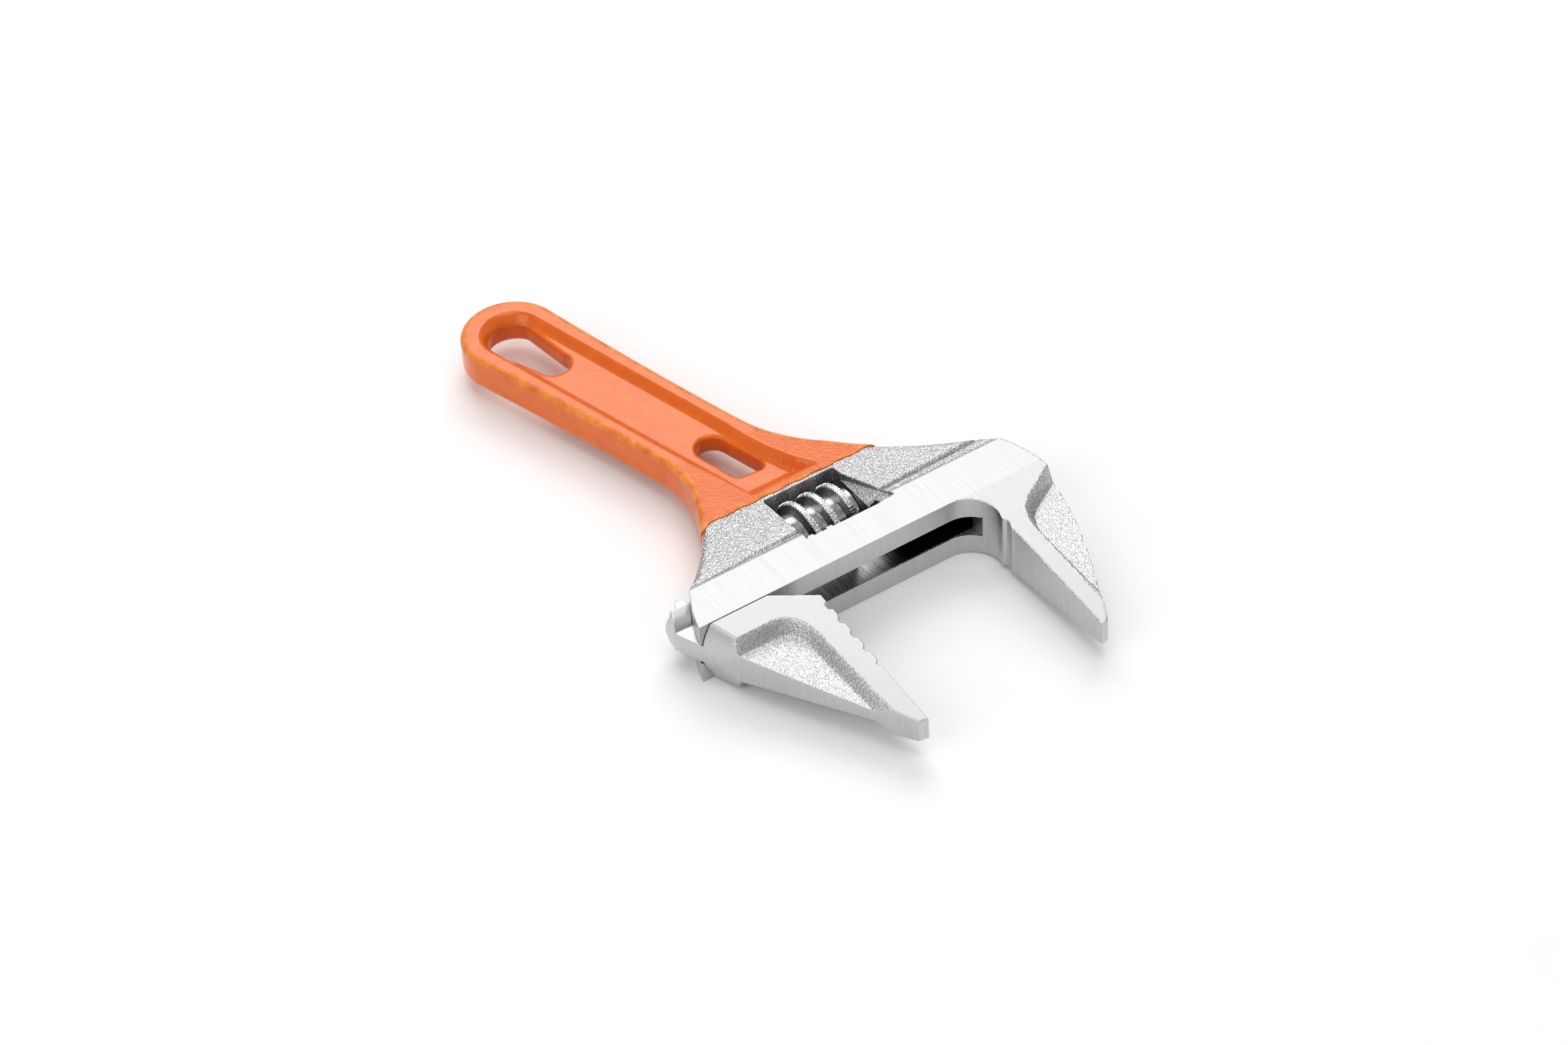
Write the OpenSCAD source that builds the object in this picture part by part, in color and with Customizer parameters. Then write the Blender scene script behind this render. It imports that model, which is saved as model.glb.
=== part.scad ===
// Short adjustable wrench with a wide opening, slim tapered jaws and a dip-coated handle.
// X runs along the jaw's slide, the handle goes towards +Y, Z is the thickness.
// The origin is on the underside of the head, below the middle of its ground band.
// Inside a sub-part, Y = 0 is the lip face that the jaw slides on and Z = 0 the mid-plane.

/* [Head] */
// Thickness of the ground head
head_t = 17; // [16:0.5:18]
// Width of the ground band behind the lip
band_w = 11.7; // [11:0.1:12.5]
// Left end of the lip
lip_left = -49.5; // [-51:0.5:-48]
// Step from the ground band down to the rough forging, per face
forging_step = 0.3; // [0.1:0.1:0.5]

/* [Jaws] */
// Position of the fixed jaw's inner face
fixed_face = 27; // [26:0.5:28]
// Position of the movable jaw's smooth nose face
nose_face = -21.4; // [-22:0.1:-21]
// Length of the jaws in front of the lip
jaw_len = 48; // [46:1:50]
// Thickness of the jaws at their tips
tip_t = 6.3; // [5:0.1:8]
// Radius in the corner between the lip and the fixed jaw
corner_r = 8; // [7.5:0.5:8]
// Half thickness of the jaw web at the lip
web_root = 4.7; // [4:0.1:5.5]
// Half thickness of the jaw web at the tip
web_tip = 0.8; // [0.6:0.1:1.5]
// Gap between the movable jaw and the lip
jaw_gap = 0.15; // [0.1:0.05:0.3]
// Number of gripping teeth on the movable jaw
grip_teeth = 5; // [3:1:6]

/* [Rack and slot] */
// Radius of the round rack bar
rack_r = 5.6; // [5.2:0.1:5.8]
// Distance of the rack bar's centre behind the lip
rack_y = 12; // [11.6:0.1:12.2]
// Clearance round the rack in its bore
rack_gap = 0.3; // [0.2:0.05:0.4]
// Half height of the slot through the lip
slot_h = 2.9; // [2.6:0.1:3.2]
// Right end of the rack with the jaw at rest
rack_right = -2; // [-4:0.5:0]
// Depth of the rack teeth
tooth_depth = 2.1; // [1.8:0.1:2.2]

/* [Worm] */
// Outer radius of the worm
worm_r = 8.2; // [8:0.1:8.3]
// Depth of the worm thread
thread_depth = 2.3; // [2:0.1:2.4]
// Pitch of the worm thread and of the rack
pitch = 5.2; // [5:0.1:5.4]
// Distance of the worm's axis behind the lip
worm_y = 19.7; // [19.5:0.1:19.8]
// Radius of the worm's pin
pin_r = 2; // [1.8:0.1:2.2]
// Radial clearance of the worm on its pin
pin_fit = 0.06; // [0.03:0.01:0.1]

/* [Handle] */
// Angle between the handle and the jaws
handle_angle = 15; // [12:1:18]
// Half width of the handle at its waist
waist = 11.2; // [10.5:0.1:12]
// Radius of the handle's round end
end_r = 12.3; // [11.8:0.1:13]
// Distance of the round end's centre from the lip, along the handle
end_s = 120.8; // [115:0.1:122]
// Thickness of the handle's rim
handle_t = 8.2; // [7.6:0.1:9]
// Thickness of the web between the rims
handle_web = 4.4; // [3.6:0.1:5]
// Width of the raised rim
rim_w = 3.6; // [3:0.1:4.2]
// Thickness of the orange coating
coat_t = 0.3; // [0.2:0.05:0.4]

/* [Hidden] */
$fn = 64;

steel = [0.82, 0.82, 0.83];
polished = [0.7, 0.71, 0.73];
orange = [0.93, 0.38, 0.1];

half_t = head_t / 2;
handle_h = handle_t / 2;
across = 200;
overlap = 0.01;

// Handle coordinates: s runs along the handle's axis and h across it
axis_x = 3.1;
end_c = along(end_s, 0);
neck_s = 60;

// Window for the worm
win_left = -13.4;
win_right = 6;
win_front = 10;
win_rear = 28.3;

// Worm thread: the crest passes angle a at thread_x0 + pitch * a / 360
thread_x0 = -10.2;
thread_from = -60;
thread_to = 900;
crest_half = 0.8;
root_half = 1.6;
worm_left = -12.8;
worm_right = 4.4;
hub_r = 4.4;
rack_phase = thread_x0 + pitch / 2;
lead_angle = atan(pitch / (2 * PI * worm_r));
tooth_back = worm_y - (worm_r - thread_depth) - 0.6;

// Pin, screwed in from the fixed jaw's side
pin_left = -18.5;
pin_head_x = 19.5;
pin_head_r = 3;
pin_right = 25.5;
pin_bore_fit = 0.03;

function along(s, h) = [axis_x - s * sin(handle_angle) + h * cos(handle_angle),
                        s * cos(handle_angle) + h * sin(handle_angle)];

function bezier(a, b, c, n = 8) =
    [for (i = [0:n]) let (t = i / n) a * (1 - t) * (1 - t) + b * 2 * t * (1 - t) + c * t * t];

function arc(c, r, from, to, n = 12) =
    [for (i = [0:n]) let (a = from + (to - from) * i / n) c + r * [cos(a), sin(a)]];

// Moves a sub-part from the lip frame to the part's frame
module placed() {
    translate([0, -band_w / 2, half_t]) children();
}

module both_faces() {
    children();
    mirror([0, 0, 1]) children();
}

// Plan outline of the handle, grown outwards by g
module handle_plan(g = 0) {
    w = waist + g;
    r = end_r + g;
    right_side = bezier(along(neck_s, w), along(86, w - 0.3), along(end_s, r));
    round_end = arc(end_c, r, handle_angle, handle_angle + 180, 24);
    left_side = bezier(along(end_s, -r), along(86, -w + 0.3), along(neck_s, -w));
    neck_left = bezier(along(neck_s, -w), [-21.9 - g, 46], [-25.5 - g, 38.5]);
    neck_right = bezier([11 + g, 37.5], [2.2 + g, 46], along(neck_s, w));
    flank_left = bezier([-25.5 - g, 38.5], [-31 - g, 24 + g], [-44 - g, 12.5]);
    flank_right = bezier([38.5, 15.3 + g], [20 + g, 25 + g], [11 + g, 37.5]);
    polygon(concat(flank_right, neck_right, right_side, round_end, left_side, neck_left, flank_left));
}

// Plan outline of the head and fixed jaw
module head_plan() {
    corner = arc([fixed_face - corner_r + 0.3, -corner_r], corner_r, 90, 0);
    groove = [[fixed_face - 0.3, -10.4], [fixed_face + 0.4, -11.2], [fixed_face + 0.4, -12.4],
              [fixed_face - 0.3, -13.9], [fixed_face, -15]];
    outer = bezier([28.8, -jaw_len + 0.3], [44.5, -19], [45.5, -3], 10);
    shoulder = bezier([45.5, -3], [44.5, 10.5], [38.5, 15.3]);
    polygon(concat([[lip_left, 0]], corner, groove, [[fixed_face, -jaw_len]], outer, shoulder,
                   [[-44, 12.5]]));
}

// Half height of the forging along Y
module height_profile() {
    slope = bezier([band_w, half_t - forging_step], [32, 5.9], [52, handle_h], 10);
    end_y = end_s + end_r;
    upper = concat([[-jaw_len, tip_t / 2], [0, half_t], [band_w, half_t]], slope,
                   [[end_y, handle_h]]);
    lower = [for (i = [len(upper) - 1:-1:0]) [upper[i][0], -upper[i][1]]];
    polygon(concat(upper, lower));
}

// Extrudes a Y-Z profile along X, across the whole part
module along_x(from = -across / 2, to = across / 2) {
    translate([from, 0, 0]) rotate([90, 0, 90]) linear_extrude(to - from) children();
}

// Recess in the upper face of the handle, down to the web, shrunk inwards by g
module handle_recess(g = 0) {
    w = waist - rim_w - g;
    r = end_r - rim_w - g;
    front = [[-13.2 + g, 33.5 + g], [3.2 - g, 33.2 + g]];
    tail = arc(end_c, r, handle_angle, handle_angle + 180, 16);
    translate([0, 0, handle_web / 2 + g]) linear_extrude(half_t)
        polygon(concat(front, tail));
}

// Teardrop hanging hole and the small slot, both shrunk by g
module handle_holes(g = 0) {
    hang_big = along(120.5, -0.3);
    hang_small = along(106.7, -0.3);
    hang_r = 6.2 - g;
    hang_end_r = 4.3 - g;
    slot_rear = along(56.4, 0.7);
    slot_r = 4.1 - g;
    lean = acos((6.2 - 4.3) / norm(hang_big - hang_small));
    translate([0, 0, -half_t]) linear_extrude(head_t) {
        polygon(concat(
            arc(hang_big, hang_r, 90 + handle_angle - lean, 90 + handle_angle + lean, 16),
            arc(hang_small, hang_end_r, 90 + handle_angle + lean, 450 + handle_angle - lean, 12)));
        polygon(concat(
            arc(slot_rear, slot_r, handle_angle, handle_angle + 180, 12),
            arc(along(46, -1.3), 2.1 - g, handle_angle + 180, handle_angle + 270, 4),
            arc(along(44.4, 2.7), 2.1 - g, handle_angle + 270, handle_angle + 360, 4)));
    }
}

// Triangular recess in the upper face of the fixed jaw
module fixed_recess() {
    corner = bezier([38, -6.5], [31.4, -9.5], [31.4, -17], 6);
    sloped_floor() linear_extrude(head_t)
        polygon(concat([[50, 0.6]], corner, [[31.6, -43.4], [50, -43.4]]));
}

// Triangular recess in the upper face of the movable jaw
module movable_recess() {
    corner = bezier([-36, -6.7], [-27.8, -6.7], [-27.5, -17], 6);
    sloped_floor() linear_extrude(head_t)
        polygon(concat([[-60, -6.7]], corner, [[-26.4, -43.5], [-60, -43.5]]));
}

// Lays a vertical cut on the jaw web's sloping upper face
module sloped_floor() {
    floor_line = [[10, web_root], [0, web_root], [-jaw_len, web_tip], [-jaw_len - 5, web_tip],
                  [-jaw_len - 5, head_t], [10, head_t]];
    intersection() {
        children();
        along_x() polygon(floor_line);
    }
}

// Section of the rack: a round bar with its toothed back cut flat, grown by g
module rack_section(g = 0) {
    intersection() {
        translate([rack_y, 0]) circle(rack_r + g);
        translate([0, -head_t]) square([tooth_back + g, 2 * head_t]);
    }
}

// Opening for the worm, through both faces, with a flare for the thumb on the right
module worm_window() {
    translate([win_left, win_front, -half_t]) cube([win_right - win_left, win_rear - win_front, head_t]);
    both_faces() intersection() {
        linear_extrude(half_t) polygon([[win_right - overlap, win_rear], [win_right - overlap, win_front],
                                        [win_right + 5, win_front + 0.6]]);
        translate([win_right, 0, 4.6]) rotate([0, -33, 0]) cube([10, 30, 10]);
    }
}

// Bore for the worm's pin, with a wider threaded mouth on the right
module pin_bore() {
    translate([pin_left, worm_y, 0]) rotate([0, 90, 0]) cylinder(r = pin_r + pin_bore_fit, h = 60);
    translate([pin_head_x, worm_y, 0]) rotate([0, 90, 0]) cylinder(r = pin_head_r + pin_bore_fit, h = 40);
}

// Handle, head and fixed jaw, one forging
module wrench_body() {
    color(steel) placed() difference() {
        intersection() {
            translate([0, 0, -half_t]) linear_extrude(head_t) union() {
                head_plan();
                handle_plan();
            }
            along_x() height_profile();
        }
        both_faces() handle_recess();
        handle_holes();
        both_faces() fixed_recess();
        along_x() rack_section(rack_gap);
        translate([lip_left - 5, -7, -slot_h]) cube([fixed_face - 1 - lip_left + 5, 7 + rack_y, 2 * slot_h]);
        worm_window();
        pin_bore();
    }
}

// Orange dip coating on the handle, a skin over the forging
module handle_coating() {
    coat_front = 29.6;
    color(orange) placed() difference() {
        intersection() {
            translate([0, 0, -half_t]) linear_extrude(head_t) handle_plan(coat_t);
            along_x() offset_height();
            translate([-60, coat_front, -half_t]) cube([120, 150, head_t]);
        }
        intersection() {
            translate([0, 0, -half_t]) linear_extrude(head_t) handle_plan();
            difference() {
                along_x() height_profile();
                both_faces() handle_recess();
            }
        }
        both_faces() handle_recess(coat_t);
        handle_holes(coat_t);
    }
}

// Height profile grown by the coating
module offset_height() {
    slope = bezier([band_w, half_t - forging_step + coat_t], [32, 5.9 + coat_t], [52, handle_h + coat_t], 10);
    upper = concat(slope, [[end_s + end_r, handle_h + coat_t]]);
    lower = [for (i = [len(upper) - 1:-1:0]) [upper[i][0], -upper[i][1]]];
    polygon(concat(upper, lower));
}

// Plan outline of the movable jaw in front of the lip
module jaw_plan() {
    tooth_w = 5;
    teeth_y = -6.6;
    tip_x = nose_face + 0.4;
    teeth = [for (i = [0:grip_teeth - 1]) let (y = teeth_y - i * tooth_w)
             each [[tip_x, y], [tip_x, y - 2.2], [tip_x - 1, y - 3.2], [tip_x - 1, y - 4.2]]];
    polygon(concat([[-50.6, -jaw_gap], [-31.3, -jaw_gap]], teeth,
                   [[nose_face, teeth_y - grip_teeth * tooth_w], [nose_face, -jaw_len - 1],
                    [-23.8, -jaw_len - 0.6], [-26.6, -43.2], [-45.4, -8]]));
}

// Keeps what lies right of an end that is rounded over its height and crosses the lip line at x
module rounded_end(x, lean) {
    end_round = 15.6;
    reach = 60;
    translate([x, 0, 0]) rotate([0, 0, lean]) {
        translate([end_round, reach, 0]) rotate([90, 0, 0]) cylinder(r = end_round, h = 2 * reach, $fn = 96);
        translate([end_round, -reach, -half_t]) cube([2 * reach, 2 * reach, head_t]);
    }
}

// Grooves of the rack, at the lead angle of the worm
module rack_grooves() {
    mouth = root_half + 0.35;
    bottom = crest_half + 0.4;
    for (x = [rack_phase - 9 * pitch:pitch:rack_right + pitch])
        translate([x, tooth_back, 0]) rotate([0, -lead_angle, 0])
            translate([0, 0, -10]) linear_extrude(20)
                polygon([[-mouth, 0.5], [mouth, 0.5], [bottom, -tooth_depth], [-bottom, -tooth_depth]]);
}

// Movable jaw with its rack bar
module movable_jaw() {
    neck_right = -30;
    neck_h = slot_h - rack_gap;
    color(steel) placed() intersection() {
        union() {
            difference() {
                intersection() {
                    translate([0, 0, -half_t]) linear_extrude(head_t) jaw_plan();
                    along_x() height_profile();
                }
                both_faces() movable_recess();
            }
            translate([-60, -1, -neck_h]) cube([60 + neck_right, rack_y, 2 * neck_h]);
            difference() {
                along_x(-60, rack_right) rack_section();
                rack_grooves();
            }
        }
        rounded_end(-49.3, 22);
        rounded_end(-53.6, -10);
    }
}

// Helical thread of the worm, as one swept band
module worm_thread() {
    steps = 64;
    inner = worm_r - thread_depth - 0.4;
    rings = [for (i = [0:steps]) let (
                 f = i / steps,
                 a = thread_from + (thread_to - thread_from) * f,
                 x = thread_x0 + pitch * a / 360,
                 run_in = min(1, min(f, 1 - f) * 12),
                 r = inner + 0.2 + (worm_r - inner - 0.2) * run_in)
             [[x - root_half, inner, a], [x + root_half, inner, a], [x + crest_half, r, a],
              [x - crest_half, r, a]]];
    points = [for (ring = rings) for (p = ring) [p[0], p[1] * cos(p[2]), p[1] * sin(p[2])]];
    sides = [for (i = [0:steps - 1]) for (j = [0:3]) let (k = (j + 1) % 4, m = i * 4)
             each [[m + j, m + 4 + k, m + k], [m + j, m + 4 + j, m + 4 + k]]];
    last = steps * 4;
    caps = [[1, 2, 3], [0, 1, 3], [last + 2, last + 1, last], [last + 3, last + 2, last]];
    polyhedron(points, concat(sides, caps));
}

// Knurled worm that drives the rack
module worm() {
    root_r = worm_r - thread_depth;
    color(polished) placed() translate([0, worm_y, 0]) difference() {
        union() {
            translate([worm_left, 0, 0]) rotate([0, 90, 0]) cylinder(r = root_r, h = worm_right - worm_left);
            translate([win_left + 0.2, 0, 0]) rotate([0, 90, 0]) cylinder(r = hub_r, h = 3);
            worm_thread();
        }
        translate([-20, 0, 0]) rotate([0, 90, 0]) cylinder(r = pin_r + pin_fit, h = 40);
    }
}

// Pin that the worm turns on, with a slotted screw head
module worm_pin() {
    color(polished) placed() translate([0, worm_y, 0]) difference() {
        union() {
            translate([pin_left, 0, 0]) rotate([0, 90, 0]) cylinder(r = pin_r, h = pin_right - pin_left);
            translate([pin_head_x, 0, 0]) rotate([0, 90, 0]) cylinder(r = pin_head_r, h = pin_right - pin_head_x);
        }
        translate([pin_right - 1, -5, -0.4]) cube([2, 10, 0.8]);
    }
}

// Spring that takes up the worm's end play
module worm_spring() {
    coil_r = 2.9;
    wire_r = 0.3;
    from = worm_right + 0.35;
    length = win_right - from - 0.35;
    turns = 1.6;
    steps = 40;
    sides = 8;
    rings = [for (i = [0:steps]) let (a = 360 * turns * i / steps) for (j = [0:sides - 1])
             let (b = 360 * j / sides, r = coil_r + wire_r * cos(b))
             [from + length * i / steps + wire_r * sin(b), r * cos(a), r * sin(a)]];
    walls = [for (i = [0:steps - 1]) for (j = [0:sides - 1]) let (k = (j + 1) % sides)
             [i * sides + j, i * sides + k, (i + 1) * sides + k, (i + 1) * sides + j]];
    start_cap = [for (j = [sides - 1:-1:0]) j];
    end_cap = [for (j = [0:sides - 1]) steps * sides + j];
    color(polished) placed() translate([0, worm_y, 0]) polyhedron(rings, concat(walls, [start_cap, end_cap]));
}

wrench_body();
handle_coating();
movable_jaw();
worm();
worm_pin();
worm_spring();
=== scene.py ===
"""Looks of the short adjustable wrench: forged steel, an orange dip-coated handle, a knurled worm."""
import math
import bpy
import numpy as np
from mathutils import Matrix, Vector


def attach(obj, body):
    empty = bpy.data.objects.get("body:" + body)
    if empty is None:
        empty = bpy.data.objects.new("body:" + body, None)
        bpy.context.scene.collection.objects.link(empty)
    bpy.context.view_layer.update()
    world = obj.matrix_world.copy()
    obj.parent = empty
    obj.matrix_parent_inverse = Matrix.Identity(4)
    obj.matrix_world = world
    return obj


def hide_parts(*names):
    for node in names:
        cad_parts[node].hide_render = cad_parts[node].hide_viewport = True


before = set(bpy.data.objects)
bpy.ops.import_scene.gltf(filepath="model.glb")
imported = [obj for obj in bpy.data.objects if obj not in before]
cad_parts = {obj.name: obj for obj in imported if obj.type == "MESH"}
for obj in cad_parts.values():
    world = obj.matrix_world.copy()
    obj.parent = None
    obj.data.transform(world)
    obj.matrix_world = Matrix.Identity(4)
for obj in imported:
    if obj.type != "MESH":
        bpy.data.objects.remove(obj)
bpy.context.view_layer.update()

MM = 0.001

# Sizes in millimetres, in the lip frame: Y = 0 is the lip face and Z = 0 the forging's mid-plane.

# Head and jaws
HEAD_T = 17.0
BAND_W = 11.7
LIP_LEFT = -49.5
FORGING_STEP = 0.3
FIXED_FACE = 27.0
NOSE_FACE = -21.4
JAW_LEN = 48.0
TIP_T = 6.3
CORNER_R = 8.0
WEB_ROOT = 4.7
WEB_TIP = 0.8
JAW_GAP = 0.15
GRIP_TEETH = 5

# Rack and slot
RACK_R = 5.6
RACK_Y = 12.0
RACK_GAP = 0.3
SLOT_H = 2.9
RACK_RIGHT = -2.0
TOOTH_DEPTH = 2.1

# Worm and its pin
WORM_R = 8.2
THREAD_DEPTH = 2.3
PITCH = 5.2
WORM_Y = 19.7
PIN_R = 2.0
PIN_FIT = 0.06
PIN_LEFT = -18.5
PIN_HEAD_X = 19.5
PIN_HEAD_R = 3.0
PIN_BORE_FIT = 0.03
KNURLS = 60
KNURL_DEPTH = 0.45

# Handle and coating; the handle's axis crosses the lip line at AXIS_X
AXIS_X = 3.1
HANDLE_ANGLE = math.radians(15)
WAIST = 11.2
END_R = 12.3
END_S = 120.8
HANDLE_H = 4.1
HANDLE_WEB = 2.2
COAT_T = 0.3
COAT_FRONT = 29.3

# Window for the worm, with a flare for the thumb on the right
WIN_LEFT, WIN_RIGHT, WIN_FRONT, WIN_REAR = -13.5, 6.0, 10.0, 28.4
FLARE_H = 4.6
FLARE_SLOPE = math.radians(33)

# Thread: the crest passes angle a at THREAD_X0 + PITCH * a / 360, and the angles are in degrees
THREAD_X0, THREAD_FROM, THREAD_TO = -10.2, -60.0, 900.0
CREST_HALF, ROOT_HALF = 0.8, 1.6
WORM_LEFT, WORM_RIGHT, HUB_R = -12.8, 4.4, 4.4
RACK_PHASE = THREAD_X0 + PITCH / 2
LEAD = math.atan(PITCH / (2 * math.pi * WORM_R))
TOOTH_BACK = WORM_Y - (WORM_R - THREAD_DEPTH) - 0.6

# The lip frame's origin in the part's own frame
LIP_ORIGIN = Vector((0.0, -BAND_W / 2, HEAD_T / 2)) * MM


# Outlines

def along(s, h):
    """A point s along the handle's axis and h across it."""
    c, d = math.cos(HANDLE_ANGLE), math.sin(HANDLE_ANGLE)
    return (AXIS_X - s * d + h * c, s * c + h * d)


def bezier(a, b, c, n=16):
    """Points of a curve from a to c that is pulled towards b."""
    t = np.linspace(0, 1, n + 1)[:, None]
    a, b, c = (np.array(p, float) for p in (a, b, c))
    return list(map(tuple, a * (1 - t) ** 2 + b * 2 * t * (1 - t) + c * t * t))


def arc(c, r, start, stop, n=16):
    """Points of a circular arc about c."""
    return [(c[0] + r * math.cos(a), c[1] + r * math.sin(a)) for a in np.linspace(start, stop, n + 1)]


def handle_outline():
    right = bezier(along(60, WAIST), along(86, WAIST - 0.3), along(END_S, END_R))
    end = arc(along(END_S, 0), END_R, HANDLE_ANGLE, HANDLE_ANGLE + math.pi, 32)
    left = bezier(along(END_S, -END_R), along(86, 0.3 - WAIST), along(60, -WAIST))
    neck_left = bezier(along(60, -WAIST), (-21.9, 46), (-25.5, 38.5))
    neck_right = bezier((11, 37.5), (2.2, 46), along(60, WAIST))
    flank_left = bezier((-25.5, 38.5), (-31, 24), (-44, 12.5))
    flank_right = bezier((38.5, 15.3), (20, 25), (11, 37.5))
    return flank_right + neck_right + right + end + left + neck_left + flank_left


def head_outline():
    corner = arc((FIXED_FACE - CORNER_R + 0.3, -CORNER_R), CORNER_R, math.pi / 2, 0)
    groove = [(FIXED_FACE - 0.3, -10.4), (FIXED_FACE + 0.4, -11.2), (FIXED_FACE + 0.4, -12.4),
              (FIXED_FACE - 0.3, -13.9), (FIXED_FACE, -15)]
    outer = bezier((28.8, 0.3 - JAW_LEN), (44.5, -19), (45.5, -3), 24)
    shoulder = bezier((45.5, -3), (44.5, 10.5), (38.5, 15.3))
    left = bezier((-44, 12.5), (-48, 6), (LIP_LEFT, 0), 8)
    return corner + groove + [(FIXED_FACE, -JAW_LEN)] + outer + shoulder + left


def jaw_outline():
    tip_x = NOSE_FACE + 0.4
    teeth = []
    for i in range(GRIP_TEETH):
        y = -6.6 - 5 * i
        teeth += [(tip_x, y), (tip_x, y - 2.2), (tip_x - 1, y - 3.2), (tip_x - 1, y - 4.2)]
    nose = [(NOSE_FACE, -6.6 - 5 * GRIP_TEETH), (NOSE_FACE, -JAW_LEN - 1), (-23.8, -JAW_LEN - 0.6),
            (-26.6, -43.2), (-45.4, -8)]
    return [(-50.6, -JAW_GAP), (-31.3, -JAW_GAP)] + teeth + nose


def fixed_recess_outline():
    corner = bezier((38, -6.5), (31.4, -9.5), (31.4, -17), 10)
    return [(50, 0.6)] + corner + [(31.6, -43.4), (50, -43.4)]


def movable_recess_outline():
    corner = bezier((-36, -6.7), (-27.8, -6.7), (-27.5, -17), 10)
    return [(-60, -6.7)] + corner + [(-26.4, -43.5), (-60, -43.5)]


def handle_recess_outline():
    """Edge of the rim's flat top round the recess, open towards the window in the head."""
    front = [(-14.2, 31.2), (5.6, 29.8), along(36, 8.2), along(44, 7.6), along(58, 8.2)]
    tail = arc(along(120.5, 0), 8.5, HANDLE_ANGLE, HANDLE_ANGLE + math.pi, 24)
    return front + tail + [along(70, -8.5), along(50, -8.3)]


def hanging_hole_outline():
    big, small = along(120.5, -0.3), along(106.7, -0.3)
    lean = math.acos(1.9 / math.dist(big, small))
    up = math.pi / 2 + HANDLE_ANGLE
    return (arc(big, 5.9, up - lean, up + lean, 24)
            + arc(small, 4.0, up + lean, up + 2 * math.pi - lean, 16))


def small_hole_outline():
    q = math.pi / 2
    return (arc(along(56.4, 0.7), 3.8, HANDLE_ANGLE, HANDLE_ANGLE + math.pi, 16)
            + arc(along(46, -1.3), 1.8, HANDLE_ANGLE + 2 * q, HANDLE_ANGLE + 3 * q, 6)
            + arc(along(44.4, 2.7), 1.8, HANDLE_ANGLE + 3 * q, HANDLE_ANGLE + 4 * q, 6))


# Distance fields: negative inside. x, y and z are arrays that broadcast together.

def polygon_distance(x, y, outline):
    """Distance to a closed outline in plan, the same at every height."""
    best = None
    inside = None
    for (ax, ay), (bx, by) in zip(outline, outline[1:] + outline[:1]):
        ex, ey = bx - ax, by - ay
        length2 = ex * ex + ey * ey
        if length2 < 1e-12:
            continue
        px, py = x - ax, y - ay
        t = np.clip((px * ex + py * ey) / length2, 0, 1)
        d2 = (px - t * ex) ** 2 + (py - t * ey) ** 2
        crosses = (ay > y) != (by > y)
        flips = crosses & (px < ex * py / (ey if ey else 1e-12))
        best = d2 if best is None else np.minimum(best, d2)
        inside = flips if inside is None else inside ^ flips
    return np.where(inside, -1, 1) * np.sqrt(best)


def smooth_max(a, b, k):
    """The larger of two fields, with the corner between them rounded over about k."""
    h = np.maximum(k - np.abs(a - b), 0) / k
    return np.maximum(a, b) + h * h * k / 4


def smooth_step(t):
    """Eases from 0 to 1 as t does."""
    t = np.clip(t, 0, 1)
    return t * t * (3 - 2 * t)


def half_height(y):
    """Half thickness of the forging along Y: tapered jaws, flat band, falling neck, even handle."""
    slope = np.array(bezier((BAND_W + 0.5, HEAD_T / 2 - FORGING_STEP), (32, 5.9), (52, HANDLE_H)))
    low, high = -60, 150
    jaw_slope = (HEAD_T - TIP_T) / 2 / JAW_LEN
    ys = np.concatenate([[low, 0, BAND_W], slope[:, 0], [high]])
    hs = np.concatenate([[HEAD_T / 2 + low * jaw_slope, HEAD_T / 2, HEAD_T / 2], slope[:, 1], [HANDLE_H]])
    return np.interp(y, ys, hs)


def web_height(y):
    """Half thickness of the jaw's web, inside its recesses."""
    return np.interp(y, [-JAW_LEN, 0], [WEB_TIP, WEB_ROOT])


def recessed(height, floor, edge, wall):
    """Height that falls to the floor inside an edge, over a sloping wall."""
    return height + (floor - height) * smooth_step(-edge / wall)


def rack_field(y, z, grow=0.0):
    """Round bar with its toothed back cut flat, endless along X."""
    return np.maximum(np.hypot(y - RACK_Y, z) - RACK_R - grow, y - TOOTH_BACK - grow)


def window_field(x, y, z):
    """Opening for the worm through both faces, with rounded corners and the thumb's flare."""
    mx, my = (WIN_LEFT + WIN_RIGHT) / 2, (WIN_FRONT + WIN_REAR) / 2
    r = 0.6
    dx = np.abs(x - mx) - (WIN_RIGHT - WIN_LEFT) / 2 + r
    dy = np.abs(y - my) - (WIN_REAR - WIN_FRONT) / 2 + r
    hole = np.hypot(np.maximum(dx, 0), np.maximum(dy, 0)) + np.minimum(np.maximum(dx, dy), 0) - r
    thumb = polygon_distance(x, y, [(WIN_RIGHT - 1, WIN_REAR), (WIN_RIGHT - 1, WIN_FRONT),
                                    (WIN_RIGHT + 5, WIN_FRONT + 0.6)])
    under = (x - WIN_RIGHT) * math.sin(FLARE_SLOPE) - (np.abs(z) - FLARE_H) * math.cos(FLARE_SLOPE)
    return np.minimum(hole, np.maximum(thumb, under))


def slot_field(x, y, z):
    """Slot through the lip for the movable jaw's neck."""
    return np.maximum(np.maximum(x - FIXED_FACE + 1, np.maximum(-7 - y, y - RACK_Y)), np.abs(z) - SLOT_H)


def pin_bore_field(x, y, z):
    """Bore for the worm's pin, with a wider mouth on the right."""
    r = np.hypot(y - WORM_Y, z)
    shank = np.maximum(r - PIN_R - PIN_BORE_FIT, PIN_LEFT - x)
    return np.minimum(shank, np.maximum(r - PIN_HEAD_R - PIN_BORE_FIT, PIN_HEAD_X - x))


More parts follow.
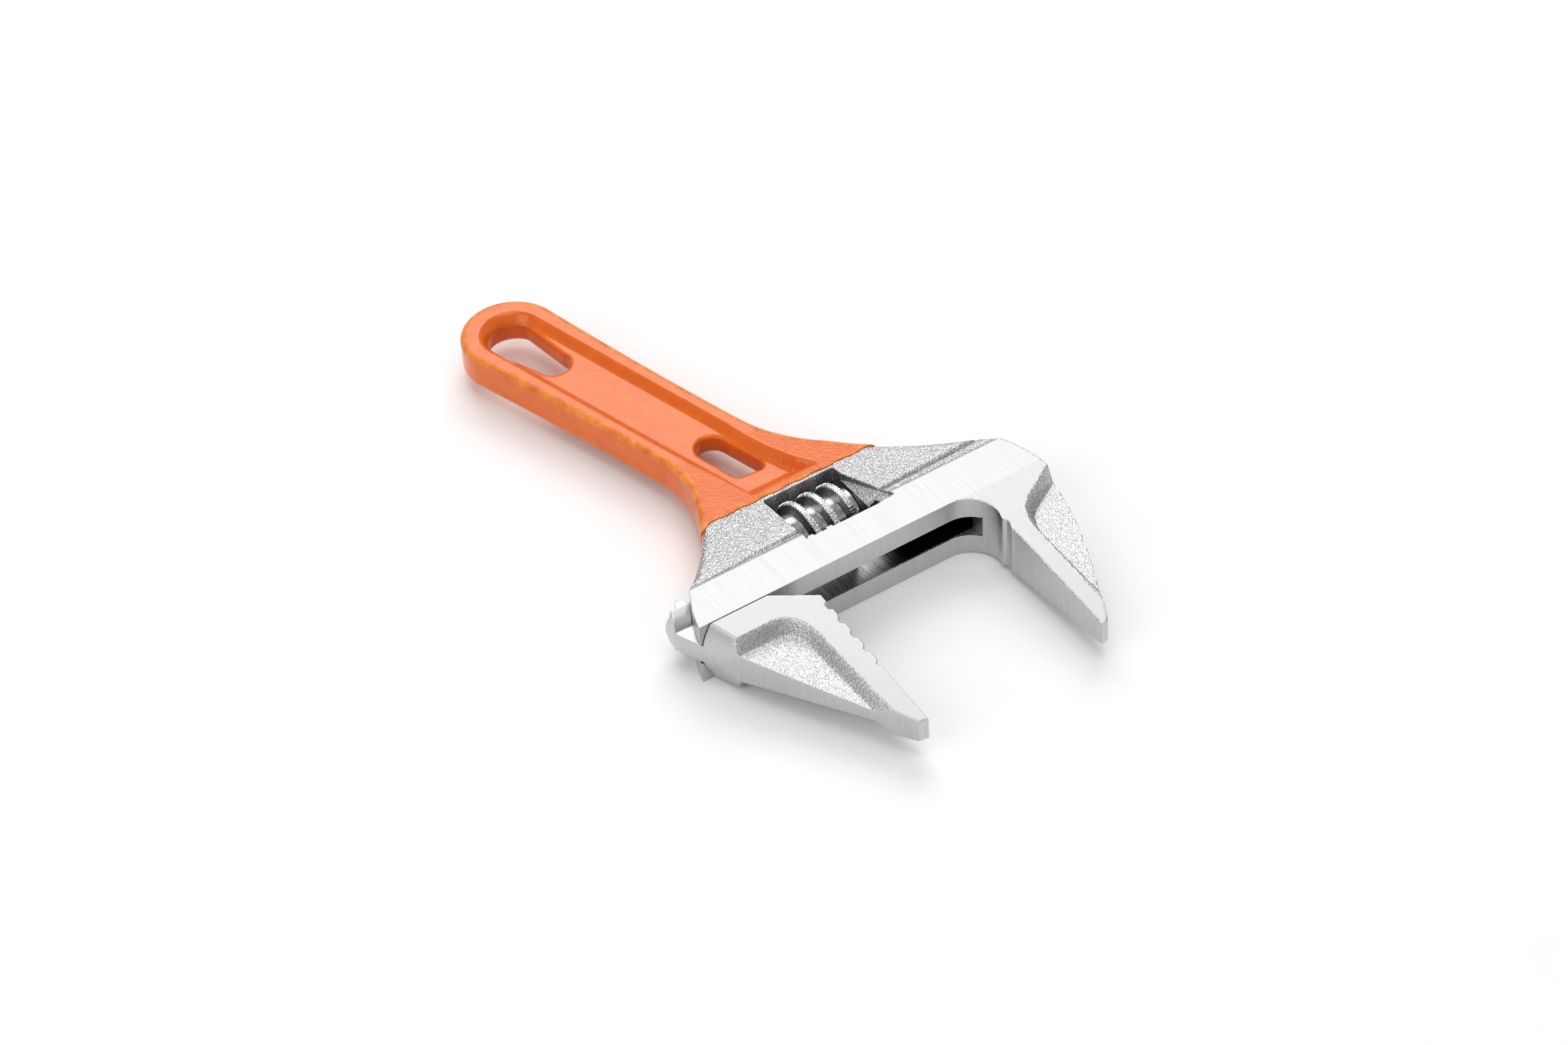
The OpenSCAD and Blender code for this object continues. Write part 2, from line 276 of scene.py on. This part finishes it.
def head_field(x, y, z):
    """Head and fixed jaw, down to the neck that the coating hides."""
    plan = np.minimum(polygon_distance(x, y, head_outline()), polygon_distance(x, y, handle_outline()))
    edge = polygon_distance(x, y, fixed_recess_outline())
    height = recessed(half_height(y), web_height(y), edge, wall=2.4)
    rounding = np.interp(y, [BAND_W, BAND_W + 2], [0.25, 1.8])
    solid = smooth_max(plan, np.abs(z) - height, rounding)
    solid = np.maximum(solid, y - COAT_FRONT - 1)
    solid = np.maximum(solid, -rack_field(y, z, RACK_GAP))
    solid = np.maximum(solid, -slot_field(x, y, z))
    solid = smooth_max(solid, -window_field(x, y, z), 0.4)
    return np.maximum(solid, -pin_bore_field(x, y, z))


def coat_edge(x):
    """Y of the coating's slightly wavy front edge, a little further forward on the left flank."""
    return COAT_FRONT - 1.2 * smooth_step((-27 - x) / 4) + 0.15 * np.sin(x * 0.9)


def coating_field(x, y, z):
    """The coated handle, with the coat's skin on the outside."""
    plan = polygon_distance(x, y, handle_outline()) - COAT_T
    rim = half_height(y) + COAT_T
    edge = polygon_distance(x, y, handle_recess_outline())
    edge = np.maximum(edge, (31.2 - y) * 0.5)
    height = recessed(rim, HANDLE_WEB + COAT_T, edge, wall=2.8)
    solid = smooth_max(plan, np.abs(z) - height, 1.5)
    holes = np.minimum(polygon_distance(x, y, hanging_hole_outline()),
                       polygon_distance(x, y, small_hole_outline()))
    solid = smooth_max(solid, -holes, 1.3)
    return smooth_max(solid, coat_edge(x) - y, 0.35)


def end_field(x, y, z, crossing, lean):
    """Outside of an end that is rounded over its height and crosses the lip line at one X."""
    lean, r = math.radians(lean), 15.6
    u = (x - crossing) * math.cos(lean) + y * math.sin(lean)
    return np.where(u < r, np.hypot(u - r, z) - r, np.abs(z) - r)


def movable_jaw_field(x, y, z):
    """Movable jaw with its neck and its grooved rack bar."""
    plan = polygon_distance(x, y, jaw_outline())
    edge = polygon_distance(x, y, movable_recess_outline())
    height = recessed(half_height(y), web_height(y), edge, wall=2.6)
    jaw = smooth_max(plan, np.abs(z) - height, 0.25)
    neck = np.maximum(np.maximum(np.abs(z) - SLOT_H + RACK_GAP, x + 30), np.abs(y - 4.5) - 5.5)
    groove_x = np.mod(x + z * math.tan(LEAD) - RACK_PHASE + PITCH / 2, PITCH) - PITCH / 2
    bottom = TOOTH_BACK - TOOTH_DEPTH
    width = np.interp(y, [bottom, TOOTH_BACK], [CREST_HALF + 0.4, ROOT_HALF + 0.3])
    groove = np.maximum(np.abs(groove_x) - width, bottom - y)
    rack = np.maximum(np.maximum(rack_field(y, z), x - RACK_RIGHT), -groove)
    solid = np.minimum(jaw, np.minimum(neck, rack))
    end = smooth_max(end_field(x, y, z, -49.2, 22), end_field(x, y, z, -53.2, -10), 0.6)
    return smooth_max(solid, end, 0.2)


def worm_field(x, y, z):
    """Worm about its own axis: core, knurled thread with run-outs, hub and pin bore."""
    r = np.hypot(y, z)
    a = np.degrees(np.arctan2(z, y))
    turn = np.round((x - THREAD_X0) / PITCH - a / 360)
    total = np.clip(a + 360 * turn, THREAD_FROM, THREAD_TO)
    u = x - THREAD_X0 - PITCH * total / 360
    over = np.abs(a + 360 * turn - total) / 60
    run_in = np.minimum(total - THREAD_FROM, THREAD_TO - total) / 70
    ridge = 0.5 + 0.5 * np.cos(np.radians(a) * KNURLS + x * 1.2)
    crest = WORM_R - KNURL_DEPTH * ridge ** 2 - 2.0 * (1 - smooth_step(run_in)) - 3 * over
    depth = np.clip((WORM_R - r) / THREAD_DEPTH, 0, 1.2)
    flank = CREST_HALF - 0.1 + (ROOT_HALF - CREST_HALF + 0.1) * depth ** 1.6
    thread = smooth_max(r - crest, np.abs(u) - flank, 0.12)
    ends = np.maximum(WORM_LEFT - x, x - WORM_RIGHT)
    core = np.maximum(r - WORM_R + THREAD_DEPTH, ends)
    hub = np.maximum(r - HUB_R, np.maximum(WIN_LEFT + 0.2 - x, x - WORM_LEFT - 1))
    solid = np.minimum(np.minimum(core, hub), np.maximum(thread, ends))
    return np.maximum(solid, PIN_R + PIN_FIT - r)


# Turning a field into a mesh that keeps sharp edges (dual contouring)

def grid_lines(low, high, step):
    """Coordinates of the grid's planes along each axis."""
    return [low[i] + step * (np.arange(int((high[i] - low[i]) / step) + 2)) for i in range(3)]


def crossings(field, lines, values, axis, step):
    """Grid edges along one axis that the surface cuts, with the point and the normal of each.

    The last array is true where the edge starts inside.
    """
    n = values.shape[axis]
    first = np.take(values, range(n - 1), axis)
    second = np.take(values, range(1, n), axis)
    index = np.argwhere((first < 0) != (second < 0))
    v0 = first[tuple(index.T)]
    v1 = second[tuple(index.T)]
    start = np.stack([lines[i][index[:, i]] for i in range(3)], 1)
    lo, hi = np.zeros(len(index)), np.ones(len(index))
    f_lo, f_hi = v0.astype(float), v1.astype(float)
    for _ in range(3):
        t = lo + (hi - lo) * np.clip(f_lo / (f_lo - f_hi), 0.02, 0.98)
        p = start.copy()
        p[:, axis] += t * step
        f = field(p[:, 0], p[:, 1], p[:, 2])
        same = (f < 0) == (f_lo < 0)
        lo, f_lo = np.where(same, t, lo), np.where(same, f, f_lo)
        hi, f_hi = np.where(same, hi, t), np.where(same, f_hi, f)
    p = start.copy()
    p[:, axis] += (lo + (hi - lo) * f_lo / (f_lo - f_hi)) * step
    eps = 0.01
    normal = np.empty_like(p)
    for i in range(3):
        a, b = p.copy(), p.copy()
        a[:, i] += eps
        b[:, i] -= eps
        normal[:, i] = field(*a.T) - field(*b.T)
    normal /= np.linalg.norm(normal, axis=1, keepdims=True) + 1e-9
    return index, p, normal, v0 < 0


def cell_points(cells, points, normals, count, step):
    """One point per cell, nearest to all the surface's planes in it and pulled a little inwards."""
    def total(weights):
        return np.bincount(cells, weights, minlength=count)

    hits = total(None)
    middle = np.stack([total(points[:, i]) / hits for i in range(3)], 1)
    offset = ((points - middle[cells]) * normals).sum(1)
    left = np.empty((count, 3, 3))
    right = np.empty((count, 3))
    for i in range(3):
        right[:, i] = total(normals[:, i] * offset)
        for j in range(3):
            left[:, i, j] = total(normals[:, i] * normals[:, j])
    left += 0.03 * np.eye(3)
    move = np.linalg.solve(left, right[:, :, None])[:, :, 0]
    return middle + np.clip(move, -step, step)


def dual_contour(field, low, high, step):
    """Vertices and quads of the surface where the field is zero."""
    lines = grid_lines(low, high, step)
    x, y, z = lines[0][:, None, None], lines[1][None, :, None], lines[2][None, None, :]
    values = np.broadcast_to(field(x, y, z), (len(lines[0]), len(lines[1]), len(lines[2])))
    shape = np.array(values.shape) - 1
    total = int(shape.prod())
    strides = np.array([shape[1] * shape[2], shape[2], 1])
    cell_lists, point_lists, normal_lists, quads = [], [], [], []
    for axis in range(3):
        index, p, normal, entering = crossings(field, lines, values, axis, step)
        b, c = (axis + 1) % 3, (axis + 2) % 3
        inner = (index[:, b] > 0) & (index[:, c] > 0)
        inner &= (index[:, b] < shape[b]) & (index[:, c] < shape[c])
        index, p, normal, entering = index[inner], p[inner], normal[inner], entering[inner]
        base = index @ strides
        ring = np.stack([base, base - strides[b], base - strides[b] - strides[c], base - strides[c]], 1)
        quads.append(np.where(entering[:, None], ring, ring[:, ::-1]))
        cell_lists.append(ring.ravel())
        point_lists.append(np.repeat(p, 4, 0))
        normal_lists.append(np.repeat(normal, 4, 0))
    used, cells = np.unique(np.concatenate(cell_lists), return_inverse=True)
    count = len(used)
    verts = cell_points(cells, np.concatenate(point_lists), np.concatenate(normal_lists), count, step)
    corner = np.stack(np.unravel_index(used, tuple(shape)), 1)
    start = np.stack([lines[i][corner[:, i]] for i in range(3)], 1)
    verts = np.clip(verts, start - 0.05 * step, start + 1.05 * step)
    lookup = np.full(total, -1)
    lookup[used] = np.arange(count)
    return verts, lookup[np.concatenate(quads)]


def mesh_object(name, verts, faces, origin=LIP_ORIGIN, sharp=32):
    """A Blender mesh from millimetre points, smooth but for edges sharper than the given angle."""
    mesh = bpy.data.meshes.new(name)
    mesh.vertices.add(len(verts))
    mesh.vertices.foreach_set("co", (np.asarray(verts) * MM + np.array(origin)).ravel())
    mesh.loops.add(len(faces) * 4)
    mesh.loops.foreach_set("vertex_index", np.asarray(faces).ravel())
    mesh.polygons.add(len(faces))
    mesh.polygons.foreach_set("loop_start", np.arange(0, len(faces) * 4, 4))
    mesh.update(calc_edges=True)
    mesh.validate()
    obj = bpy.data.objects.new(name, mesh)
    bpy.context.scene.collection.objects.link(obj)
    mesh.shade_smooth()
    mesh.set_sharp_from_angle(angle=math.radians(sharp))
    return obj


def face_centres(obj):
    """Centres and normals of an object's faces, in millimetres of the lip frame."""
    n = len(obj.data.polygons)
    centre, normal = np.empty(n * 3), np.empty(n * 3)
    obj.data.polygons.foreach_get("center", centre)
    obj.data.polygons.foreach_get("normal", normal)
    return (centre.reshape(-1, 3) - np.array(LIP_ORIGIN)) / MM, normal.reshape(-1, 3)


def set_slots(obj, materials, choice):
    """Gives an object its materials and each face the number of its own."""
    for m in materials:
        obj.data.materials.append(m)
    obj.data.polygons.foreach_set("material_index", np.asarray(choice, dtype=np.int32))


# Materials

class Nodes:
    """A small helper that adds and links shader nodes."""

    def __init__(self, name):
        self.material = bpy.data.materials.new(name)
        self.material.use_nodes = True
        self.tree = self.material.node_tree
        self.tree.nodes.clear()
        self.out = self.add("ShaderNodeOutputMaterial")
        self.shader = self.add("ShaderNodeBsdfPrincipled")
        self.link(self.shader, "BSDF", self.out, "Surface")

    def add(self, kind, **inputs):
        node = self.tree.nodes.new(kind)
        for key, value in inputs.items():
            node.inputs[key.replace("_", " ")].default_value = value
        return node

    def link(self, a, output, b, name):
        self.tree.links.new(a.outputs[output], b.inputs[name])

    def coords(self, scale=(1, 1, 1), turn=0.0):
        """Object coordinates in millimetres, stretched."""
        where = self.add("ShaderNodeTexCoord")
        place = self.add("ShaderNodeMapping")
        place.inputs["Scale"].default_value = [1000 * s for s in scale]
        place.inputs["Rotation"].default_value = (0, 0, turn)
        self.link(where, "Object", place, "Vector")
        return place

    def noise(self, scale, detail=3.0, rough=0.55, stretch=(1, 1, 1), turn=0.0):
        """Noise whose scale is in features per millimetre."""
        node = self.add("ShaderNodeTexNoise", Scale=scale, Detail=detail, Roughness=rough)
        self.link(self.coords(stretch, turn), "Vector", node, "Vector")
        return node

    def ramp(self, source, output, stops):
        """A colour ramp from stops of (position, red-green-blue)."""
        node = self.add("ShaderNodeValToRGB")
        elements = node.color_ramp.elements
        while len(elements) < len(stops):
            elements.new(0.5)
        for element, (at, colour) in zip(elements, stops):
            element.position = at
            element.color = (*colour, 1)
        self.link(source, output, node, "Fac")
        return node

    def span(self, source, output, low, high, from_low=0.3, from_high=0.7):
        """Maps a value from one range to another."""
        node = self.add("ShaderNodeMapRange")
        node.inputs["From Min"].default_value = from_low
        node.inputs["From Max"].default_value = from_high
        node.inputs["To Min"].default_value = low
        node.inputs["To Max"].default_value = high
        self.link(source, output, node, "Value")
        return node

    def bump(self, heights, edge=0.0):
        """Stacks heights into one bump chain: each is (node, output, strength, distance in mm)."""
        last = None
        if edge:
            last = self.add("ShaderNodeBevel", Radius=edge * MM)
            last.samples = 6
        for node, output, strength, distance in heights:
            bump = self.add("ShaderNodeBump", Strength=strength, Distance=distance * MM)
            self.link(node, output, bump, "Height")
            if last:
                self.link(last, "Normal", bump, "Normal")
            last = bump
        self.link(last, "Normal", self.shader, "Normal")

    def set(self, **values):
        """Sets values on the shader's sockets."""
        for key, value in values.items():
            self.shader.inputs[key.replace("_", " ")].default_value = value


def ground_steel():
    """Bright ground and plated faces, with very fine lines across the slide."""
    n = Nodes("ground_steel")
    n.set(Metallic=1.0)
    lines = n.noise(1.0, 4, 0.6, (2.2, 0.05, 2.2), math.radians(8))
    tint = n.ramp(lines, "Fac", [(0.3, (0.36, 0.36, 0.365)), (0.7, (0.44, 0.44, 0.44))])
    n.link(tint, "Color", n.shader, "Base Color")
    rough = n.span(lines, "Fac", 0.34, 0.46)
    n.link(rough, "Result", n.shader, "Roughness")
    n.bump([(lines, "Fac", 0.12, 0.01)], edge=0.2)
    return n.material


def milled_steel():
    """Upright machined faces: a fine upright grain and small pits."""
    n = Nodes("milled_steel")
    n.set(Metallic=1.0)
    grain = n.noise(1.0, 5, 0.65, (2.6, 2.6, 0.1))
    tint = n.ramp(grain, "Fac", [(0.3, (0.50, 0.50, 0.505)), (0.7, (0.60, 0.60, 0.605))])
    n.link(tint, "Color", n.shader, "Base Color")
    rough = n.span(grain, "Fac", 0.3, 0.42)
    n.link(rough, "Result", n.shader, "Roughness")
    pits = n.noise(0.9, 2, 0.5)
    holes = n.span(pits, "Fac", 0.0, 1.0, 0.27, 0.31)
    n.bump([(grain, "Fac", 0.2, 0.02), (holes, "Result", 0.6, 0.05)], edge=0.2)
    return n.material


def pebbled_steel(name, dark, light, scale, depth):
    """Rough forging under satin plating: pebbles whose middles are lighter, a painted highlight, and
    whose crevices are darker, painted shade.
    """
    n = Nodes(name)
    n.set(Metallic=1.0)
    pebble = n.add("ShaderNodeTexVoronoi", Scale=scale)
    pebble.feature = "SMOOTH_F1"
    pebble.inputs["Smoothness"].default_value = 0.3
    warp = n.noise(0.9, 2)
    mix = n.add("ShaderNodeVectorMath")
    mix.operation = "ADD"
    n.link(n.coords(), "Vector", mix, 0)
    n.link(warp, "Color", mix, 1)
    n.link(mix, "Vector", pebble, "Vector")
    # Painted light: each pebble's middle is coloured light, a painted highlight, and the crevices between
    # pebbles dark, painted shade.
    tint = n.ramp(pebble, "Distance", [(0.12, (light, light, light)), (0.62, (dark, dark, dark * 1.01))])
    n.link(tint, "Color", n.shader, "Base Color")
    fine = n.noise(2.2, 3, 0.6)
    rough = n.span(fine, "Fac", 0.28, 0.42)
    n.link(rough, "Result", n.shader, "Roughness")
    n.bump([(pebble, "Distance", 1.0, -depth), (fine, "Fac", 0.6, 0.12)])
    return n.material


def forged_steel():
    return pebbled_steel("forged_steel", 0.38, 0.86, 2.5, 0.14)


def pocket_steel():
    return pebbled_steel("pocket_steel", 0.46, 0.84, 2.6, 0.12)


def channel_steel():
    """Inside the slot and bore: slanting cutter's lines with strong light and dark streaks, partly
    painted reflection, and a painted highlight near the movable jaw that fades to painted shade further
    in.
    """
    n = Nodes("channel_steel")
    n.set(Metallic=1.0)
    lines = n.noise(1.0, 5, 0.7, (2.6, 0.12, 0.7), math.radians(52))
    # The lines' wide range from dark to light paints streaks of reflection over the real cutter's marks.
    tint = n.ramp(lines, "Fac", [(0.32, (0.10, 0.10, 0.103)), (0.62, (0.84, 0.84, 0.85))])
    where = n.add("ShaderNodeTexCoord")
    split = n.add("ShaderNodeSeparateXYZ")
    n.link(where, "Object", split, "Vector")
    # Painted light: a painted highlight on the left, near the movable jaw, fading to painted shade
    # towards the right.
    painted_highlight_to_shade = n.span(split, "X", 1.0, 0.13, -0.016, 0.008)
    shade = n.add("ShaderNodeVectorMath")
    shade.operation = "MULTIPLY"
    n.link(tint, "Color", shade, 0)
    n.link(painted_highlight_to_shade, "Result", shade, 1)
    n.link(shade, "Vector", n.shader, "Base Color")
    n.set(Roughness=0.34)
    n.bump([(lines, "Fac", 0.5, 0.05)])
    return n.material


def orange_coating(name, dark, light, roughness, depth):
    """Glossy dip coating over a pebbled forging."""
    n = Nodes(name)
    cloud = n.noise(0.25, 3)
    tint = n.ramp(cloud, "Fac", [(0.3, dark), (0.7, light)])
    n.link(tint, "Color", n.shader, "Base Color")
    n.set(Roughness=roughness, IOR=1.58)
    n.shader.inputs["Specular Tint"].default_value = (1.0, 0.86, 0.70, 1.0)
    pebble = n.noise(1.3, 3, 0.6)
    n.bump([(pebble, "Fac", 0.8, depth)])
    return n.material


def smooth_coating():
    return orange_coating("smooth_coating", (0.70, 0.11, 0.002), (0.78, 0.14, 0.004), 0.11, 0.11)


def thin_coating():
    """Over the forging's edges, where the pebbles show through."""
    return orange_coating("thin_coating", (0.66, 0.11, 0.002), (0.92, 0.27, 0.03), 0.2, 0.4)


def shaded_hole_coating():
    """Inside the holes: a darker orange, painted shade on the holes' walls."""
    return orange_coating("shaded_hole_coating", (0.62, 0.095, 0.001), (0.74, 0.13, 0.002), 0.1, 0.15)


def worm_steel(name, dark, light):
    """Polished steel with faint wear marks."""
    n = Nodes(name)
    n.set(Metallic=1.0)
    marks = n.noise(0.8, 3)
    tint = n.ramp(marks, "Fac", [(0.3, (dark, dark, dark)), (0.7, (light, light, light))])
    n.link(tint, "Color", n.shader, "Base Color")
    rough = n.span(marks, "Fac", 0.16, 0.28)
    n.link(rough, "Result", n.shader, "Roughness")
    n.bump([(marks, "Fac", 0.15, 0.03)])
    return n.material


def pin_steel():
    """Turned steel of the pin and the spring."""
    n = Nodes("pin_steel")
    n.set(Metallic=1.0)
    lines = n.noise(1.0, 3, 0.5, (2.5, 0.3, 0.3))
    tint = n.ramp(lines, "Fac", [(0.3, (0.38, 0.38, 0.39)), (0.7, (0.52, 0.52, 0.53))])
    n.link(tint, "Color", n.shader, "Base Color")
    n.set(Roughness=0.3)
    n.bump([(lines, "Fac", 0.2, 0.02)])
    return n.material


# Pieces

def head_slots(p, normal):
    """Material number of each head face: 0 forging, 1 ground, 2 milled, 3 channel, 4 pocket."""
    x, y, z = p.T
    recess = polygon_distance(x, y, fixed_recess_outline())
    flat = (np.abs(normal[:, 2]) > 0.93) & (np.abs(np.abs(z) - half_height(y)) < 0.12)
    ground = flat & (y < BAND_W + 0.05) & (recess > -0.12)
    slot = (np.abs(z) < SLOT_H + 0.1) & (y > 0.3) & (y < RACK_Y)
    channel = (np.abs(rack_field(y, z, RACK_GAP)) < 0.15) | slot
    upright = (np.abs(normal[:, 2]) < 0.6) & (y < BAND_W - 0.2) & ~channel
    outer = (recess < 0.5) & (y < 0)
    choice = np.where(ground, 1, 0)
    choice = np.where(upright & ~outer, 2, choice)
    choice = np.where((recess < 0.2) & (y < 0) & ~upright, 4, choice)
    return np.where(channel & ~ground, 3, choice)


def build_head(materials):
    """Head and fixed jaw in front of the coating, a little of it under the coat."""
    step = 0.36
    verts, faces = dual_contour(head_field, (-51, -49.1, -9), (46.9, COAT_FRONT + 4.6, 9), step)
    head = mesh_object("forged_head", verts, faces)
    set_slots(head, materials, head_slots(*face_centres(head)))
    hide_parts("wrench_body")
    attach(head, "wrench_body")


def coating_slots(p, normal):
    """Material number of each coat face: 0 smooth, 1 thin over edges, 2 darker in the holes, painted
    shade.
    """
    x, y, z = p.T
    outer = -polygon_distance(x, y, handle_outline())
    holes = np.minimum(polygon_distance(x, y, hanging_hole_outline()),
                       polygon_distance(x, y, small_hole_outline()))
    upright = np.abs(normal[:, 2]) < 0.75
    rim_edge = (outer < 1.3) & (outer > -COAT_T + 0.02) & (np.abs(z) > 2.9)
    front = y < coat_edge(x) + 0.9
    choice = np.where(rim_edge | front, 1, 0)
    # The holes' upright walls take the darker coat, painted shade.
    return np.where((holes < 0.8) & upright, 2, choice)


def build_coating(materials):
    step = 0.38
    verts, faces = dual_contour(coating_field, (-43, 23, -9), (23, 135, 9), step)
    coat = mesh_object("coated_handle", verts, faces, sharp=50)
    set_slots(coat, materials, coating_slots(*face_centres(coat)))
    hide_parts("handle_coating")
    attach(coat, "wrench_body")


def jaw_slots(p, normal):
    """Material number of each face of the movable jaw, from the same list as the head's."""
    x, y, z = p.T
    recess = polygon_distance(x, y, movable_recess_outline())
    flat = (np.abs(normal[:, 2]) > 0.93) & (np.abs(np.abs(z) - half_height(y)) < 0.12)
    ground = flat & (y < 0) & (recess > -0.12)
    pocket = (recess < 0) & (np.abs(z) > web_height(y) - 0.15) & (np.abs(normal[:, 2]) > 0.35)
    choice = np.where(pocket, 4, 2)
    return np.where(ground, 1, choice)


def build_jaw(materials):
    step = 0.3
    verts, faces = dual_contour(movable_jaw_field, (-55, -49.6, -9), (-1.3, 15, 9), step)
    jaw = mesh_object("sliding_jaw", verts, faces)
    set_slots(jaw, materials, jaw_slots(*face_centres(jaw)))
    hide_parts("movable_jaw")
    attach(jaw, "movable_jaw")


def build_worm(flank, crest):
    """The worm, with its knurled crest in a lighter copy of its steel, painted highlight, and the flanks
    and core in a darker copy, painted shade.
    """
    step = 0.17
    verts, faces = dual_contour(worm_field, (-13.7, -8.6, -8.6), (6.2, 8.6, 8.6), step)
    worm = mesh_object("knurled_worm", verts + np.array([0, WORM_Y, 0]), faces, sharp=40)
    p, _ = face_centres(worm)
    radius = np.hypot(p[:, 1] - WORM_Y, p[:, 2])
    # Faces near the crest's radius take the lighter steel, painted highlight; the rest take the darker
    # steel, painted shade.
    set_slots(worm, [flank, crest], radius > WORM_R - 0.62)
    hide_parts("worm")
    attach(worm, "worm")


def paint_cad_node(name, material):
    """Gives a CAD node that is shown as it is its material."""
    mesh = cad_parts[name].data
    mesh.materials.clear()
    mesh.materials.append(material)


# Studio

def area_light(name, place, size, power):
    """A softbox aimed at the head."""
    light = bpy.data.lights.new(name, "AREA")
    light.shape = "RECTANGLE"
    light.size, light.size_y = size
    light.energy = power
    obj = bpy.data.objects.new(name, light)
    obj.location = place
    aim = Vector((0, 0.02, 0)) - Vector(place)
    obj.rotation_euler = aim.to_track_quat("-Z", "Y").to_euler()
    bpy.context.scene.collection.objects.link(obj)


def floor_material():
    n = Nodes("white_paper")
    grain = n.noise(0.05, 2)
    tint = n.ramp(grain, "Fac", [(0.3, (0.93, 0.93, 0.93)), (0.7, (0.95, 0.95, 0.95))])
    n.link(tint, "Color", n.shader, "Base Color")
    n.set(Roughness=0.9)
    return n.material


def build_studio():
    """White floor, even white surroundings and three softboxes."""
    half = 6.0
    corners = [(-half, -half, 0), (half, -half, 0), (half, half, 0), (-half, half, 0)]
    mesh = bpy.data.meshes.new("floor")
    mesh.from_pydata(corners, [], [(0, 1, 2, 3)])
    floor = bpy.data.objects.new("floor", mesh)
    bpy.context.scene.collection.objects.link(floor)
    mesh.materials.append(floor_material())
    world = bpy.data.worlds.new("studio")
    world.use_nodes = True
    background = world.node_tree.nodes["Background"]
    background.inputs["Color"].default_value = (1, 1, 1, 1)
    background.inputs["Strength"].default_value = 0.55
    bpy.context.scene.world = world
    area_light("back_softbox", (0.54, 0.90, 1.12), (1.2, 0.85), 9.5)
    area_light("left_softbox", (-1.0, -0.1, 0.75), (0.7, 0.9), 3)
    area_light("top_softbox", (0.0, -0.2, 1.5), (0.9, 0.9), 5)
    bpy.context.scene.view_settings.view_transform = "Standard"


def build_camera():
    """The photograph's viewpoint: from the jaws' side, high on the left, through a long lens."""
    azimuth, elevation, roll = (math.radians(a) for a in (-31.5436, 42.9971, -3.423))
    back = Vector((math.sin(azimuth) * math.cos(elevation), -math.cos(azimuth) * math.cos(elevation),
                   math.sin(elevation)))
    right = Vector((math.cos(azimuth), math.sin(azimuth), 0))
    up = back.cross(right)
    turned_right = right * math.cos(roll) + up * math.sin(roll)
    turned_up = up * math.cos(roll) - right * math.sin(roll)
    axes = Matrix((turned_right, turned_up, back)).transposed().to_4x4()
    data = bpy.data.cameras.new("camera")
    data.lens = 100.15
    data.sensor_width = 36
    data.clip_start = 0.01
    camera = bpy.data.objects.new("camera", data)
    camera.matrix_world = Matrix.Translation((-0.397224, -0.611354, 0.698554)) @ axes
    bpy.context.scene.collection.objects.link(camera)
    bpy.context.scene.camera = camera


build_camera()
build_studio()
steels = [forged_steel(), ground_steel(), milled_steel(), channel_steel(), pocket_steel()]
build_head(steels)
build_coating([smooth_coating(), thin_coating(), shaded_hole_coating()])
build_jaw(steels)
# Lit and shaded copies of one steel for the worm: painted shade on flanks and core, painted highlight on
# the crest.
build_worm(worm_steel("worm_shaded_flank", 0.26, 0.40), worm_steel("worm_lit_crest", 0.70, 0.85))
for node in ("worm_pin", "worm_spring"):
    paint_cad_node(node, pin_steel())
